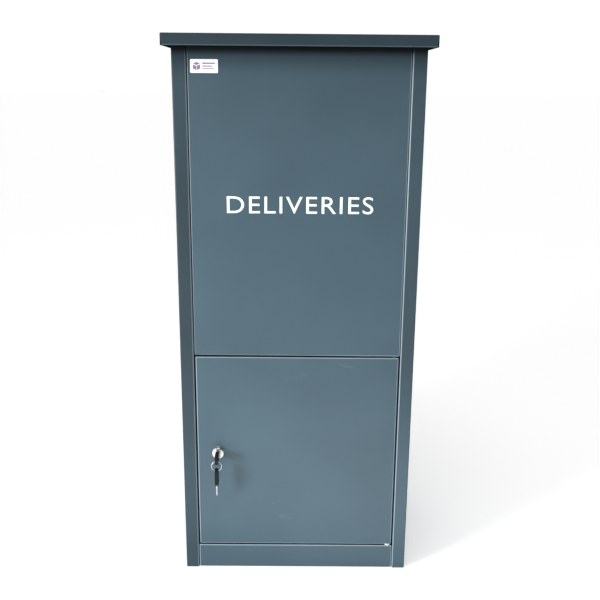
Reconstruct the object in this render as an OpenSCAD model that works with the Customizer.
// Parcel drop box: a folded-steel cabinet with a rear-hinged deposit lid, a
// lockable front door and an anti-theft flap that the lid works through rods.
// Millimetres, +Z up, the front faces -Y, origin at the centre of the base.

/* [Cabinet] */
// overall width across the two side panels
body_w = 414; // [400:1:430]
// overall depth from the front stile faces to the back plane
body_d = 330; // [325:1:350]
// height from the floor to the top of the closed lid
total_h = 966; // [955:1:990]
// thickness of the folded steel sheet
sheet = 1.5; // [1.3:0.1:1.6]
// width of the fixed front stile on each side
stile_w = 24; // [22:1:26]
// how far the panels and the door sit behind the stile faces
panel_recess = 1; // [0.8:0.1:1.2]
// seam left open between a fixed front panel and a stile
seam = 0.8; // [0.6:0.1:1]
// height of the plinth panel's top edge
plinth_top = 47.1; // [46:0.1:50]
// height of the upper front panel's lower edge
upper_z0 = 424.2; // [420:0.1:428]

/* [Lid] */
// width of the lid over its side skirts
lid_w = 440; // [436:1:444]
// how far the lid's front skirt stands ahead of the stiles
lid_overhang = 26; // [22:1:28]
// depth of the lid's front and side skirts
lid_skirt = 19; // [18:0.5:20]
// opening angle drawn, zero is closed
lid_angle = 0; // [0:1:80]

/* [Door] */
// gap left open all round the door
door_gap = 2.6; // [2.4:0.1:3]
// depth of the door's folded edges
door_depth = 14; // [12:0.5:14]
// distance of the pivot pins from the door's free hinge-side edge
pivot_in = 7; // [6.8:0.1:7.4]
// distance of the pivot pins behind the door's face
pivot_back = 5; // [5:0.1:5.2]
// radius of the pivot pins
pivot_r = 2.5; // [2.2:0.1:2.6]

/* [Lock and keys] */
// lock axis, sideways from the middle of the cabinet
lock_x = -143; // [-146:0.5:-141]
// lock axis, height above the floor
lock_z = 238; // [230:1:245]
// radius of the lock's round head
lock_head_r = 10.5; // [10:0.5:11.5]
// how far the lock head stands proud of the door
lock_head_h = 8; // [6:0.5:9]
// width of the moulded key heads
key_head_w = 18; // [17:0.5:22]
// mean radius of the key ring
ring_r = 9; // [9:0.5:9.5]
// radius of the key ring's wire
ring_wire_r = 0.8; // [0.6:0.1:0.8]

/* [Drop flap] */
// height of the flap's axle
flap_z = 690; // [680:1:700]
// length of the flap from its axle to its front edge
flap_len = 284; // [275:1:284]
// angle the flap hangs below the horizontal with the lid closed
flap_hang = 85; // [83:1:86]

/* [Hidden] */
bw = body_w / 2;
bd = body_d / 2;
front_y = -bd;
face_y = front_y + panel_recess;
skin_in = face_y + sheet;
web_in = bw - sheet;
jamb_x = bw - stile_w;
lip_back = front_y + 14;
rim_z = total_h - 6.5;
lid_under = total_h - sheet;
panel_x = jamb_x - seam;
door_x = jamb_x - door_gap + 0.1;
door_z0 = plinth_top + door_gap;
door_z1 = upper_z0 - door_gap;
door_back = face_y + door_depth;
pivot_x = door_x - pivot_in;
pivot_y = face_y + pivot_back;
hinge_y = bd - 9;
hinge_z = total_h - 5.5;
knuckle_r = 3.7;
leaf_t = 1.2;
leaf_half = 190;
knuckle_n = 19;
knuckle_p = 2 * leaf_half / knuckle_n;
hinge_pin_r = 1.6;
run_fit = 0.05;
back_y = bd - 3;
joggle_y = hinge_y - 4;
arm_y = -90;
arm_z = -10;
flap_y = bd - 25;
axle_r = 5;
flap_half = 176;
rod_x0 = 184;
rod_x1 = 187;
link_pin_r = 3;
lid_rear = hinge_y + 7;
mat_t = 2;
seg = 48;
ring_y = front_y - 34;
ring_top_z = lock_z - 2.5;
ring_z = ring_top_z - ring_r;
spare_top_z = ring_z - ring_r;
key_t = 6;
key_hole_r = 3;
anchor_x = 140;
anchor_y = 110;
wall_x = 130;
wall_z0 = 150;
wall_z1 = 820;
seam_z = [60, 300, 540, 780];
leaf_rivet_z = rim_z - 14;
lid_rivet_x = [for (i = [-3 : 2]) i * 60 + 30];
stop_y = lip_back + 4;
bump_z = flap_z - flap_len + 30;
bump_y = flap_y - cos(flap_hang) * (flap_len - 30) - axle_r + 1;

c_body = [0.30, 0.39, 0.45];
c_steel = [0.75, 0.76, 0.78];
c_dark = [0.08, 0.08, 0.09];
c_white = [0.92, 0.92, 0.90];
c_rubber = [0.14, 0.14, 0.15];

// ---- helpers -------------------------------------------------------------

module slab(x0, x1, y0, y1, z0, z1) {
  translate([x0, y0, z0])
    cube([x1 - x0, y1 - y0, z1 - z0]);
}

module rod_x(x0, x1, y, z, r) {
  translate([x0, y, z])
    rotate([0, 90, 0])
      cylinder(r = r, h = x1 - x0, $fn = seg);
}

module rod_y(y0, y1, x, z, r) {
  translate([x, y0, z])
    rotate([-90, 0, 0])
      cylinder(r = r, h = y1 - y0, $fn = seg);
}

module rod_z(z0, z1, x, y, r) {
  translate([x, y, z0])
    cylinder(r = r, h = z1 - z0, $fn = seg);
}

// a constant section in the Y-Z plane, drawn out along X
module yz_section(x0, x1) {
  translate([x0, 0, 0])
    rotate([90, 0, 90])
      linear_extrude(height = x1 - x0)
        children();
}

// turn about an X axis through (y, z); positive lifts the front
module tip(angle, y, z) {
  translate([0, y, z])
    rotate([-angle, 0, 0])
      translate([0, -y, -z])
        children();
}

// ---- cabinet -------------------------------------------------------------

// side sheet with front stile, door jamb lip, top flange and rear flange
module side_sheet() {
  difference() {
    union() {
      slab(web_in, bw, front_y, bd, 0, rim_z);
      slab(jamb_x, bw, front_y, front_y + sheet, 0, rim_z);
      slab(jamb_x, jamb_x + sheet, front_y, lip_back, 0, rim_z);
      slab(bw - 11, bw, lip_back, bd - 18, rim_z - sheet, rim_z);
      slab(jamb_x, bw, front_y, lip_back, rim_z - sheet, rim_z);
      slab(bw - 16, bw, bd - sheet, bd, 0, rim_z);
    }
    slab(bw - 30, bw + 1, bd - 15, bd + 1, rim_z - 10, rim_z + 1);
    for (z = seam_z)
      rod_y(bd - sheet - 1, bd + 1, bw - 9, z, 2);
  }
}

module left_side_panel() {
  color(c_body)
    mirror([1, 0, 0])
      side_sheet();
}

module right_side_panel() {
  color(c_body)
    side_sheet();
}

// back sheet, stepped forward at the top to carry the lid hinge
module back_panel() {
  zt = rim_z - 4.5;
  color(c_body)
    difference() {
      yz_section(-web_in, web_in)
        polygon([
          [back_y, sheet], [back_y + sheet, sheet],
          [back_y + sheet, 905], [joggle_y, 921], [joggle_y, zt],
          [joggle_y - sheet, zt], [joggle_y - sheet, 920.2],
          [back_y, 904.2]
        ]);
      for (x = [-wall_x, wall_x])
        for (z = [wall_z0, wall_z1])
          rod_y(back_y - 1, bd + 1, x, z, 4.5);
      for (i = [-3 : 3])
        rod_y(joggle_y - sheet - 1, joggle_y + 1, i * 60, leaf_rivet_z, 2);
      for (x = [-bw + 9, bw - 9])
        for (z = seam_z)
          rod_y(back_y - 1, bd + 1, x, z, 2);
    }
}

// fixed panel above the door, with folded edges
module upper_front_panel() {
  color(c_body)
    difference() {
      union() {
        slab(-panel_x, panel_x, face_y, skin_in, upper_z0, rim_z);
        slab(-panel_x, panel_x, face_y, lip_back, rim_z - sheet, rim_z);
        slab(-panel_x, panel_x, face_y, stop_y, upper_z0, upper_z0 + sheet);
        for (s = [-1, 1])
          scale([s, 1, 1])
            slab(panel_x - sheet, panel_x, face_y, lip_back, upper_z0, rim_z);
      }
      rod_z(upper_z0 - 1, upper_z0 + 3, pivot_x, pivot_y, pivot_r);
    }
}

// fixed kick panel below the door
module plinth_panel() {
  color(c_body)
    difference() {
      union() {
        slab(-panel_x, panel_x, face_y, skin_in, 2, plinth_top);
        slab(-panel_x, panel_x, face_y, stop_y, plinth_top - sheet, plinth_top);
        for (s = [-1, 1])
          scale([s, 1, 1])
            slab(panel_x - sheet, panel_x, face_y, lip_back, 2, plinth_top);
      }
      rod_z(plinth_top - 3, plinth_top + 1, pivot_x, pivot_y, pivot_r);
    }
}

// floor tray with four anchor holes and upturned edges
module floor_panel() {
  color(c_body)
    difference() {
      union() {
        slab(-web_in, web_in, lip_back + 3, back_y + sheet, 0, sheet);
        slab(-jamb_x + 2.5, jamb_x - 2.5, skin_in, back_y, 0, sheet);
        slab(-jamb_x + 2.5, jamb_x - 2.5, skin_in, skin_in + sheet, 0, 20);
        slab(-web_in, web_in, back_y - sheet, back_y, 0, 20);
        for (s = [-1, 1])
          scale([s, 1, 1])
            slab(web_in - sheet, web_in, lip_back + 3, back_y, 0, 20);
      }
      for (x = [-anchor_x, anchor_x])
        for (y = [-anchor_y, anchor_y])
          rod_z(-1, 5, x, y, 5);
    }
}

// angle that stiffens the rim behind the upper front panel
module header_rail() {
  y0 = skin_in;
  color(c_body) {
    slab(-panel_x + 4, panel_x - 4, y0, y0 + sheet, rim_z - 34, rim_z - sheet);
    slab(-panel_x + 4, panel_x - 4, y0, y0 + 24, rim_z - 34, rim_z - 34 + sheet);
    slab(-panel_x + 4, panel_x - 4, y0 + 24 - sheet, y0 + 24, rim_z - 34, rim_z - 22);
  }
}

// rubber strip the closed lid rests on
module rim_gasket() {
  z1 = lid_under - 0.3;
  color(c_rubber) {
    slab(-bw + 2, bw - 2, front_y + 3, front_y + 11, rim_z, z1);
    for (s = [-1, 1])
      scale([s, 1, 1])
        slab(bw - 10, bw - 2, front_y + 11, bd - 18, rim_z, z1);
  }
}

// angle above the door that its top edge closes against
module door_stop_top() {
  y0 = stop_y;
  color(c_body) {
    slab(-jamb_x + 6, jamb_x - 6, y0, y0 + sheet, upper_z0 - 20, upper_z0 + 11);
    slab(-jamb_x + 6, jamb_x - 6, y0 + sheet, y0 + 10, upper_z0 - 20, upper_z0 - 18.5);
  }
}

// angle below the door that its lower edge closes against
module door_stop_bottom() {
  y0 = stop_y;
  color(c_body) {
    slab(-jamb_x + 6, jamb_x - 6, y0, y0 + sheet, plinth_top - 12, plinth_top + 18);
    slab(-jamb_x + 6, jamb_x - 6, y0 + sheet, y0 + 10, plinth_top + 16.5, plinth_top + 18);
  }
}

// foam strips on the two door stops
module door_seal() {
  color(c_rubber)
    for (z = [door_z0 - 1, door_z1 - 7])
      slab(-jamb_x + 18, jamb_x - 18, door_back + 0.3, stop_y, z, z + 8);
}

// plate behind the lock-side jamb that the turned cam catches
module strike_plate() {
  x0 = -web_in;
  x1 = -jamb_x;
  color(c_steel) {
    slab(x0, x1, lip_back, lip_back + sheet, lock_z - 40, lock_z + 40);
    slab(x0, x0 + sheet, lip_back + sheet, lip_back + 18, lock_z - 40, lock_z + 40);
  }
}

// the two door pivot pins, headed behind the flanges that hold them
module door_pivot_pins() {
  color(c_steel) {
    rod_z(plinth_top - sheet, door_z0 + 11, pivot_x, pivot_y, pivot_r);
    rod_z(plinth_top - sheet - 3, plinth_top - sheet, pivot_x, pivot_y, 3.4);
    rod_z(door_z1 - 9, upper_z0 + sheet, pivot_x, pivot_y, pivot_r);
    rod_z(upper_z0 + sheet, upper_z0 + sheet + 3, pivot_x, pivot_y, 3.4);
  }
}

// nylon washers that carry the door on its pins
module hinge_washers() {
  color(c_white)
    for (z = [plinth_top, upper_z0 - door_gap + 0.3])
      difference() {
        rod_z(z, z + door_gap - 0.3, pivot_x, pivot_y, 5);
        rod_z(z - 1, z + 5, pivot_x, pivot_y, pivot_r);
      }
}

// a run of hinge knuckles; odd is 0 for the fixed set, 1 for the moving set
module knuckles(odd, bore_r) {
  gap = 0.3;
  difference() {
    for (i = [odd : 2 : knuckle_n - 1]) {
      x0 = -leaf_half + i * knuckle_p;
      rod_x(x0 + gap, x0 + knuckle_p - gap, hinge_y, hinge_z, knuckle_r);
    }
    rod_x(-leaf_half - 1, leaf_half + 1, hinge_y, hinge_z, bore_r);
  }
}

// piano hinge leaf on the back panel
module lid_hinge_fixed_leaf() {
  gap = 0.3;
  y0 = hinge_y - 4;
  color(c_steel)
    difference() {
      union() {
        slab(-leaf_half, leaf_half, y0, y0 + leaf_t, hinge_z - 25, hinge_z - 4.6);
        for (i = [0 : 2 : knuckle_n - 1]) {
          x0 = -leaf_half + i * knuckle_p;
          slab(x0 + gap, x0 + knuckle_p - gap, y0, y0 + leaf_t, hinge_z - 5, hinge_z);
        }
        knuckles(0, hinge_pin_r);
      }
      for (i = [-3 : 3])
        rod_y(y0 - 1, y0 + 3, i * 60, leaf_rivet_z, 2);
      rod_x(-leaf_half - 1, leaf_half + 1, hinge_y, hinge_z, hinge_pin_r);
    }
}

module lid_hinge_pin() {
  color(c_steel)
    rod_x(-leaf_half, leaf_half, hinge_y, hinge_z, hinge_pin_r);
}

// rivets that close the back panel's side seams, flush on the outside
module seam_rivets() {
  color(c_steel)
    for (x = [-bw + 9, bw - 9])
      for (z = seam_z) {
        rod_y(back_y, bd, x, z, 2);
        rod_y(back_y - 1, back_y, x, z, 3.5);
      }
}

// rivets of the fixed hinge leaf
module leaf_rivets() {
  color(c_steel)
    for (i = [-3 : 3]) {
      rod_y(joggle_y - sheet, joggle_y + leaf_t, i * 60, leaf_rivet_z, 2);
      rod_y(joggle_y + leaf_t, joggle_y + leaf_t + 1, i * 60, leaf_rivet_z, 3.6);
    }
}

// side bracket that carries one end of the flap's axle
module flap_bracket() {
  color(c_steel)
    difference() {
      union() {
        slab(web_in - 2, web_in, flap_y - 22, flap_y + 18, flap_z - 30, flap_z + 30);
        rod_x(web_in - 9, web_in - 1, flap_y, flap_z, 11);
      }
      rod_x(web_in - 10, web_in - 1.5, flap_y, flap_z, 7);
    }
}

module flap_bracket_right() {
  flap_bracket();
}

module flap_bracket_left() {
  mirror([1, 0, 0])
    flap_bracket();
}

// nylon bushes pressed into the two brackets
module flap_bushes() {
  color(c_white)
    for (s = [-1, 1])
      scale([s, 1, 1])
        difference() {
          union() {
            rod_x(web_in - 9, web_in - 1.5, flap_y, flap_z, 7);
            rod_x(web_in - 10.5, web_in - 9, flap_y, flap_z, 9);
          }
          rod_x(web_in - 12, web_in, flap_y, flap_z, axle_r + run_fit);
        }
}

// two angles on the back panel that the hanging flap rests against
module flap_stops() {
  y0 = bump_y + 7;
  z0 = bump_z - 17;
  z1 = bump_z + 17;
  color(c_steel)
    for (s = [-1, 1])
      scale([s, 1, 1]) {
        slab(104, 138, back_y - 2, back_y, z0, z1);
        slab(104, 106, y0 + 2, back_y - 2, z0, z1);
        slab(104, 138, y0, y0 + 2, z0, z1);
      }
}

module stop_bumpers() {
  color(c_rubber)
    for (s = [-1, 1])
      rod_y(bump_y, bump_y + 7, s * 122, bump_z, 8);
}

// ribbed rubber mat in the bottom of the store
module floor_mat() {
  z0 = sheet;
  color(c_rubber)
    difference() {
      union() {
        slab(-web_in + 12, web_in - 12, lip_back + 14, back_y - 8, z0, z0 + mat_t);
        for (i = [-8 : 8])
          slab(-web_in + 18, web_in - 18, i * 15 - 3, i * 15 + 3, z0 + mat_t, z0 + mat_t + 1);
      }
      for (x = [-anchor_x, anchor_x])
        for (y = [-anchor_y, anchor_y])
          rod_z(-1, 9, x, y, 11);
    }
}

// plain sticker in the upper left corner of the front
module front_label() {
  color(c_white)
    slab(-bw + 30.6, -bw + 75.4, face_y - 0.2, face_y, total_h - 60.4, total_h - 39);
}

// ---- lid -----------------------------------------------------------------

module lid_pose() {
  tip(lid_angle, hinge_y, hinge_z)
    children();
}

// folded lid with deep front and side skirts and a short rear lip
module lid_shell() {
  lx = lid_w / 2;
  y0 = front_y - lid_overhang;
  z0 = total_h - lid_skirt;
  color(c_body)
    lid_pose()
      difference() {
        union() {
          slab(-lx, lx, y0, lid_rear, lid_under, total_h);
          slab(-lx, lx, y0, y0 + sheet, z0, total_h);
          slab(-lx, lx, y0 + sheet, y0 + 8, z0, z0 + sheet);
          slab(-lx, lx, lid_rear - sheet, lid_rear, total_h - 6, total_h);
          for (s = [-1, 1])
            scale([s, 1, 1])
              slab(lx - sheet, lx, y0, lid_rear, z0, total_h);
        }
        for (x = lid_rivet_x)
          rod_z(lid_under - 1, total_h + 1, x, hinge_y - 17, 2);
      }
}

// top-hat rib under the lid
module lid_rib() {
  y0 = front_y + 18;
  y1 = hinge_y - 34;
  z1 = lid_under;
  color(c_body) {
    slab(96, 106, y0, y1, z1 - sheet, z1);
    slab(104.5, 106, y0, y1, z1 - 12, z1 - sheet);
    slab(104.5, 131.5, y0, y1, z1 - 13.5, z1 - 12);
    slab(130, 131.5, y0, y1, z1 - 12, z1 - sheet);
    slab(130, 140, y0, y1, z1 - sheet, z1);
  }
}

module lid_stiffener_right() {
  lid_pose()
    lid_rib();
}

module lid_stiffener_left() {
  lid_pose()
    mirror([1, 0, 0])
      lid_rib();
}

// piano hinge leaf under the lid
module lid_hinge_moving_leaf() {
  gap = 0.3;
  z1 = lid_under;
  color(c_steel)
    lid_pose()
      difference() {
        union() {
          slab(-leaf_half, leaf_half, hinge_y - 25, hinge_y - 4.6, z1 - leaf_t, z1);
          for (i = [1 : 2 : knuckle_n - 1]) {
            x0 = -leaf_half + i * knuckle_p;
            slab(x0 + gap, x0 + knuckle_p - gap, hinge_y - 5, hinge_y, z1 - leaf_t, z1);
          }
          knuckles(1, hinge_pin_r + run_fit);
        }
        for (x = lid_rivet_x)
          rod_z(z1 - 3, z1 + 1, x, hinge_y - 17, 2);
        rod_x(-leaf_half - 1, leaf_half + 1, hinge_y, hinge_z, hinge_pin_r + run_fit);
      }
}

// countersunk rivets, flush with the lid's top
module lid_rivets() {
  color(c_steel)
    lid_pose()
      for (x = lid_rivet_x) {
        rod_z(lid_under - leaf_t, total_h, x, hinge_y - 17, 2);
        rod_z(lid_under - leaf_t - 1, lid_under - leaf_t, x, hinge_y - 17, 3.4);
      }
}

// bracket under the lid that holds the top of one link rod
module link_lug() {
  y = hinge_y + arm_y;
  z = hinge_z + arm_z;
  color(c_steel)
    difference() {
      union() {
        slab(160, 183.7, y - 14, y + 14, lid_under - 2, lid_under);
        slab(181.7, 183.7, y - 14, y + 14, z - 1, lid_under - 2);
        rod_x(181.7, 183.7, y, z, 7);
      }
      rod_x(180, 185, y, z, link_pin_r);
    }
}

module link_lug_right() {
  lid_pose()
    link_lug();
}

module link_lug_left() {
  lid_pose()
    mirror([1, 0, 0])
      link_lug();
}

// headed pin through a link rod's eye
module link_pin(y, z) {
  for (s = [-1, 1])
    scale([s, 1, 1]) {
      rod_x(181.7, 189.4, y, z, link_pin_r);
      rod_x(180.2, 181.7, y, z, 5);
      rod_x(187.4, 188.8, y, z, 5.5);
    }
}

module lid_link_pins() {
  color(c_steel)
    lid_pose()
      link_pin(hinge_y + arm_y, hinge_z + arm_z);
}

// ---- drop flap -----------------------------------------------------------

module flap_pose() {
  tip(lid_angle - flap_hang, flap_y, flap_z)
    children();
}

// shelf plate, drawn level here and then turned to hang
module drop_flap() {
  y0 = flap_y - flap_len;
  color(c_body)
    flap_pose()
      difference() {
        union() {
          slab(-flap_half, flap_half, y0, flap_y, flap_z + axle_r, flap_z + axle_r + sheet);
          slab(-flap_half, flap_half, y0, y0 + sheet, flap_z - 9, flap_z + axle_r);
          for (x = [-60, 60])
            slab(x - 0.75, x + 0.75, y0 + sheet, flap_y - 12, flap_z - 6, flap_z + axle_r);
          slab(-flap_half, flap_half, flap_y, flap_y + 9, flap_z + axle_r, flap_z + axle_r + sheet);
        }
        for (x = [-90, 0, 90])
          rod_z(flap_z, flap_z + 9, x, flap_y, 1.5);
      }
}

// side cheek: one arm of it is the crank that the link rod pulls
module flap_cheek() {
  // crank pin position with the flap drawn level
  py = flap_y + arm_y * cos(flap_hang) + arm_z * sin(flap_hang);
  pz = flap_z - arm_y * sin(flap_hang) + arm_z * cos(flap_hang);
  color(c_body)
    flap_pose()
      difference() {
        union() {
          yz_section(flap_half, flap_half + sheet)
            polygon([
              [flap_y + 10, flap_z - 8], [flap_y + 10, flap_z + 10],
              [py + 8, pz + 4], [py + 2, pz + 8], [py - 5, pz + 7],
              [py - 8, pz - 2], [flap_y - flap_len * 0.72, flap_z + 12],
              [flap_y - flap_len + 2, flap_z + 8],
              [flap_y - flap_len + 2, flap_z - 8]
            ]);
          rod_x(flap_half, flap_half + sheet, flap_y, flap_z, 12);
        }
        rod_x(flap_half - 1, flap_half + 5, flap_y, flap_z, axle_r);
        rod_x(flap_half - 1, flap_half + 5, py, pz, link_pin_r - run_fit);
      }
}

module flap_cheek_right() {
  flap_cheek();
}

module flap_cheek_left() {
  mirror([1, 0, 0])
    flap_cheek();
}

module flap_axle() {
  x1 = web_in - 2.2;
  color(c_steel)
    rod_x(-x1, x1, flap_y, flap_z, axle_r);
}

// rubber edge along the front of the flap
module flap_edge_trim() {
  y0 = flap_y - flap_len;
  color(c_rubber)
    flap_pose()
      difference() {
        slab(-flap_half, flap_half, y0 - 2, y0 + 6, flap_z + axle_r - 0.2, flap_z + axle_r + sheet + 2);
        slab(-flap_half - 1, flap_half + 1, y0, y0 + 8, flap_z - 2, flap_z + axle_r + sheet);
      }
}

module flap_link_pins() {
  y = flap_y + arm_y;
  z = flap_z + arm_z;
  color(c_steel)
    tip(lid_angle, flap_y, flap_z)
      for (s = [-1, 1])
        scale([s, 1, 1]) {
          rod_x(flap_half, 189.4, y, z, link_pin_r - run_fit);
          rod_x(flap_half - 1.5, flap_half, y, z, 5);
          rod_x(flap_half + sheet, 183.7, y, z, 5);
          rod_x(187.4, 188.8, y, z, 5.5);
        }
}

// flat rod between a lid lug and a flap cheek
module link_rod() {
  ty = hinge_y + arm_y * cos(lid_angle) + arm_z * sin(lid_angle);
  tz = hinge_z - arm_y * sin(lid_angle) + arm_z * cos(lid_angle);
  dy = flap_y - hinge_y;
  dz = flap_z - hinge_z;
  len = norm([dy, dz]);
  color(c_steel)
    translate([rod_x0, ty, tz])
      rotate([atan2(dy, -dz), 0, 0])
        difference() {
          union() {
            slab(0, rod_x1 - rod_x0, -6, 6, -len, 0);
            rod_x(0, rod_x1 - rod_x0, 0, 0, 8);
            rod_x(0, rod_x1 - rod_x0, 0, -len, 8);
          }
          rod_x(-1, 9, 0, 0, link_pin_r + run_fit);
          rod_x(-1, 9, 0, -len, link_pin_r + run_fit);
        }
}

module link_rod_right() {
  link_rod();
}

module link_rod_left() {
  mirror([1, 0, 0])
    link_rod();
}

// ---- door ----------------------------------------------------------------

// folded door sheet with returns on all four edges
module door_skin() {
  z0 = door_z0;
  z1 = door_z1;
  color(c_body)
    difference() {
      union() {
        slab(-door_x, door_x, face_y, skin_in, z0, z1);
        slab(-door_x, door_x, face_y, door_back, z0, z0 + sheet);
        slab(-door_x, door_x, face_y, door_back, z1 - sheet, z1);
        for (s = [-1, 1])
          scale([s, 1, 1])
            slab(door_x - sheet, door_x, face_y, door_back, z0, z1);
      }
      for (z = [z0, z1])
        rod_z(z - 3, z + 3, pivot_x, pivot_y, 3.4);
      rod_y(face_y - 1, skin_in + 1, lock_x, lock_z, lock_head_r - 1.3);
    }
}

// top-hat rib up the middle of the door
module door_stiffener() {
  z0 = door_z0 + 8;
  z1 = door_z1 - 8;
  color(c_body) {
    slab(-32, -18, skin_in, skin_in + sheet, z0, z1);
    slab(-19.5, -18, skin_in + sheet, skin_in + 10.5, z0, z1);
    slab(-19.5, 19.5, skin_in + 10.5, skin_in + 12, z0, z1);
    slab(18, 19.5, skin_in + sheet, skin_in + 10.5, z0, z1);
    slab(18, 32, skin_in, skin_in + sheet, z0, z1);
  }
}

// bushes in the door's end folds that turn on the pivot pins
module pivot_bushes() {
  color(c_steel)
    for (z = [door_z0, door_z1 - 5])
      difference() {
        rod_z(z, z + 5, pivot_x, pivot_y, 3.4);
        rod_z(z - 1, z + 6, pivot_x, pivot_y, pivot_r + run_fit);
      }
}

// doubling plate behind the lock
module lock_plate() {
  color(c_steel)
    difference() {
      slab(lock_x - 24, lock_x + 24, skin_in, skin_in + 1, lock_z - 24, lock_z + 24);
      rod_y(skin_in - 1, skin_in + 3, lock_x, lock_z, lock_head_r - 1.3);
    }
}

// round lock head and its threaded barrel
module lock_housing() {
  y0 = face_y - lock_head_h;
  color(c_steel)
    difference() {
      union() {
        rod_y(y0 + 1, face_y, lock_x, lock_z, lock_head_r);
        rod_y(y0, y0 + 1, lock_x, lock_z, lock_head_r - 0.8);
        rod_y(face_y, lip_back + 3.4, lock_x, lock_z, lock_head_r - 1.35);
      }
      rod_y(y0 - 1, bd, lock_x, lock_z, 6 + run_fit);
    }
}

module lock_nut() {
  y0 = skin_in + 1;
  color(c_steel)
    difference() {
      translate([lock_x, y0, lock_z])
        rotate([-90, 0, 0])
          cylinder(r = 14, h = 4.5, $fn = 6);
      rod_y(y0 - 1, y0 + 6, lock_x, lock_z, lock_head_r - 1.3);
    }
}

// turning core of the lock, slotted for the key
module lock_plug() {
  y0 = face_y - lock_head_h - 0.3;
  color(c_steel)
    difference() {
      union() {
        rod_y(y0, lip_back + 4, lock_x, lock_z, 6);
        slab(lock_x - 3.5, lock_x + 3.5, lip_back + 4, lip_back + 6.5, lock_z - 3.5, lock_z + 3.5);
      }
      slab(lock_x - 1.2, lock_x + 1.2, y0 - 1, y0 + 22, lock_z - 4.2, lock_z + 4.2);
      rod_y(lip_back + 0.5, lip_back + 8, lock_x, lock_z, 1.5);
    }
}

// cam hangs down when the door is free and turns behind the strike
module lock_cam() {
  y0 = lip_back + 4;
  color(c_steel)
    difference() {
      union() {
        rod_y(y0, y0 + 2.5, lock_x, lock_z, 9);
        slab(lock_x - 7, lock_x + 7, y0, y0 + 2.5, lock_z - 46, lock_z);
      }
      slab(lock_x - 3.5, lock_x + 3.5, y0 - 1, y0 + 4, lock_z - 3.5, lock_z + 3.5);
    }
}

module cam_screw() {
  y0 = lip_back + 6.5;
  color(c_steel) {
    rod_y(lip_back + 0.5, y0, lock_x, lock_z, 1.5);
    rod_y(y0, y0 + 2.2, lock_x, lock_z, 5);
  }
}

// round-cornered outline of a key head, standing in the Y-Z plane
module head_outline(len, wide, corner) {
  translate([-len / 2 + corner, -wide / 2])
    square([len - 2 * corner, wide]);
  translate([-len / 2, -wide / 2 + corner])
    square([len, wide - 2 * corner]);
  for (sy = [-1, 1])
    for (sz = [-1, 1])
      translate([sy * (len / 2 - corner), sz * (wide / 2 - corner)])
        circle(r = corner, $fn = seg);
}

module key_blade() {
  y0 = face_y - lock_head_h - 0.3;
  color(c_steel) {
    slab(lock_x - 1, lock_x + 1, y0, y0 + 21, lock_z - 4, lock_z + 4);
    slab(lock_x - 1, lock_x + 1, y0 - 3.2, y0, lock_z - 5, lock_z + 5);
  }
}

module key_head() {
  y1 = face_y - lock_head_h - 3.5;
  y0 = ring_y - 6;
  color(c_dark)
    difference() {
      translate([0, (y0 + y1) / 2, lock_z])
        yz_section(lock_x - key_t / 2, lock_x + key_t / 2)
          head_outline(y1 - y0, key_head_w, 7);
      rod_x(lock_x - 9, lock_x + 9, ring_y, lock_z - 1, key_hole_r);
    }
}

// wire ring through the key's hole
module key_ring() {
  color(c_steel)
    translate([lock_x, ring_y, ring_z])
      rotate([90, 0, 0])
        rotate_extrude($fn = 96)
          translate([ring_r, 0])
            circle(r = ring_wire_r, $fn = 24);
}

module spare_key_head() {
  z1 = spare_top_z + 3.5;
  z0 = z1 - 31;
  color(c_dark)
    difference() {
      translate([lock_x - key_t / 2, ring_y, (z0 + z1) / 2])
        rotate([0, 90, 0])
          linear_extrude(height = key_t)
            head_outline(z1 - z0, key_head_w, 7);
      rod_x(lock_x - 9, lock_x + 9, ring_y, spare_top_z - 1.5, key_hole_r);
    }
}

module spare_key_blade() {
  z1 = spare_top_z + 3.5 - 31;
  color(c_steel)
    difference() {
      union() {
        slab(lock_x - 1, lock_x + 1, ring_y - 4, ring_y + 4, z1 - 19, z1);
        slab(lock_x - 1, lock_x + 1, ring_y - 5, ring_y + 5, z1 - 3, z1);
      }
      for (i = [0 : 3])
        slab(lock_x - 2, lock_x + 2, ring_y + 2.8, ring_y + 5, z1 - 17 + i * 3.6, z1 - 15.4 + i * 3.6);
    }
}

// ---- nodes ---------------------------------------------------------------

left_side_panel();
right_side_panel();
back_panel();
upper_front_panel();
plinth_panel();
floor_panel();
header_rail();
rim_gasket();
door_stop_top();
door_stop_bottom();
door_seal();
strike_plate();
door_pivot_pins();
hinge_washers();
lid_hinge_fixed_leaf();
lid_hinge_pin();
leaf_rivets();
seam_rivets();
flap_bracket_left();
flap_bracket_right();
flap_bushes();
flap_stops();
stop_bumpers();
floor_mat();
front_label();
lid_shell();
lid_stiffener_left();
lid_stiffener_right();
lid_hinge_moving_leaf();
lid_rivets();
link_lug_left();
link_lug_right();
lid_link_pins();
drop_flap();
flap_cheek_left();
flap_cheek_right();
flap_axle();
flap_edge_trim();
flap_link_pins();
link_rod_left();
link_rod_right();
door_skin();
door_stiffener();
pivot_bushes();
lock_plate();
lock_housing();
lock_nut();
lock_plug();
lock_cam();
cam_screw();
key_blade();
key_head();
key_ring();
spare_key_blade();
spare_key_head();
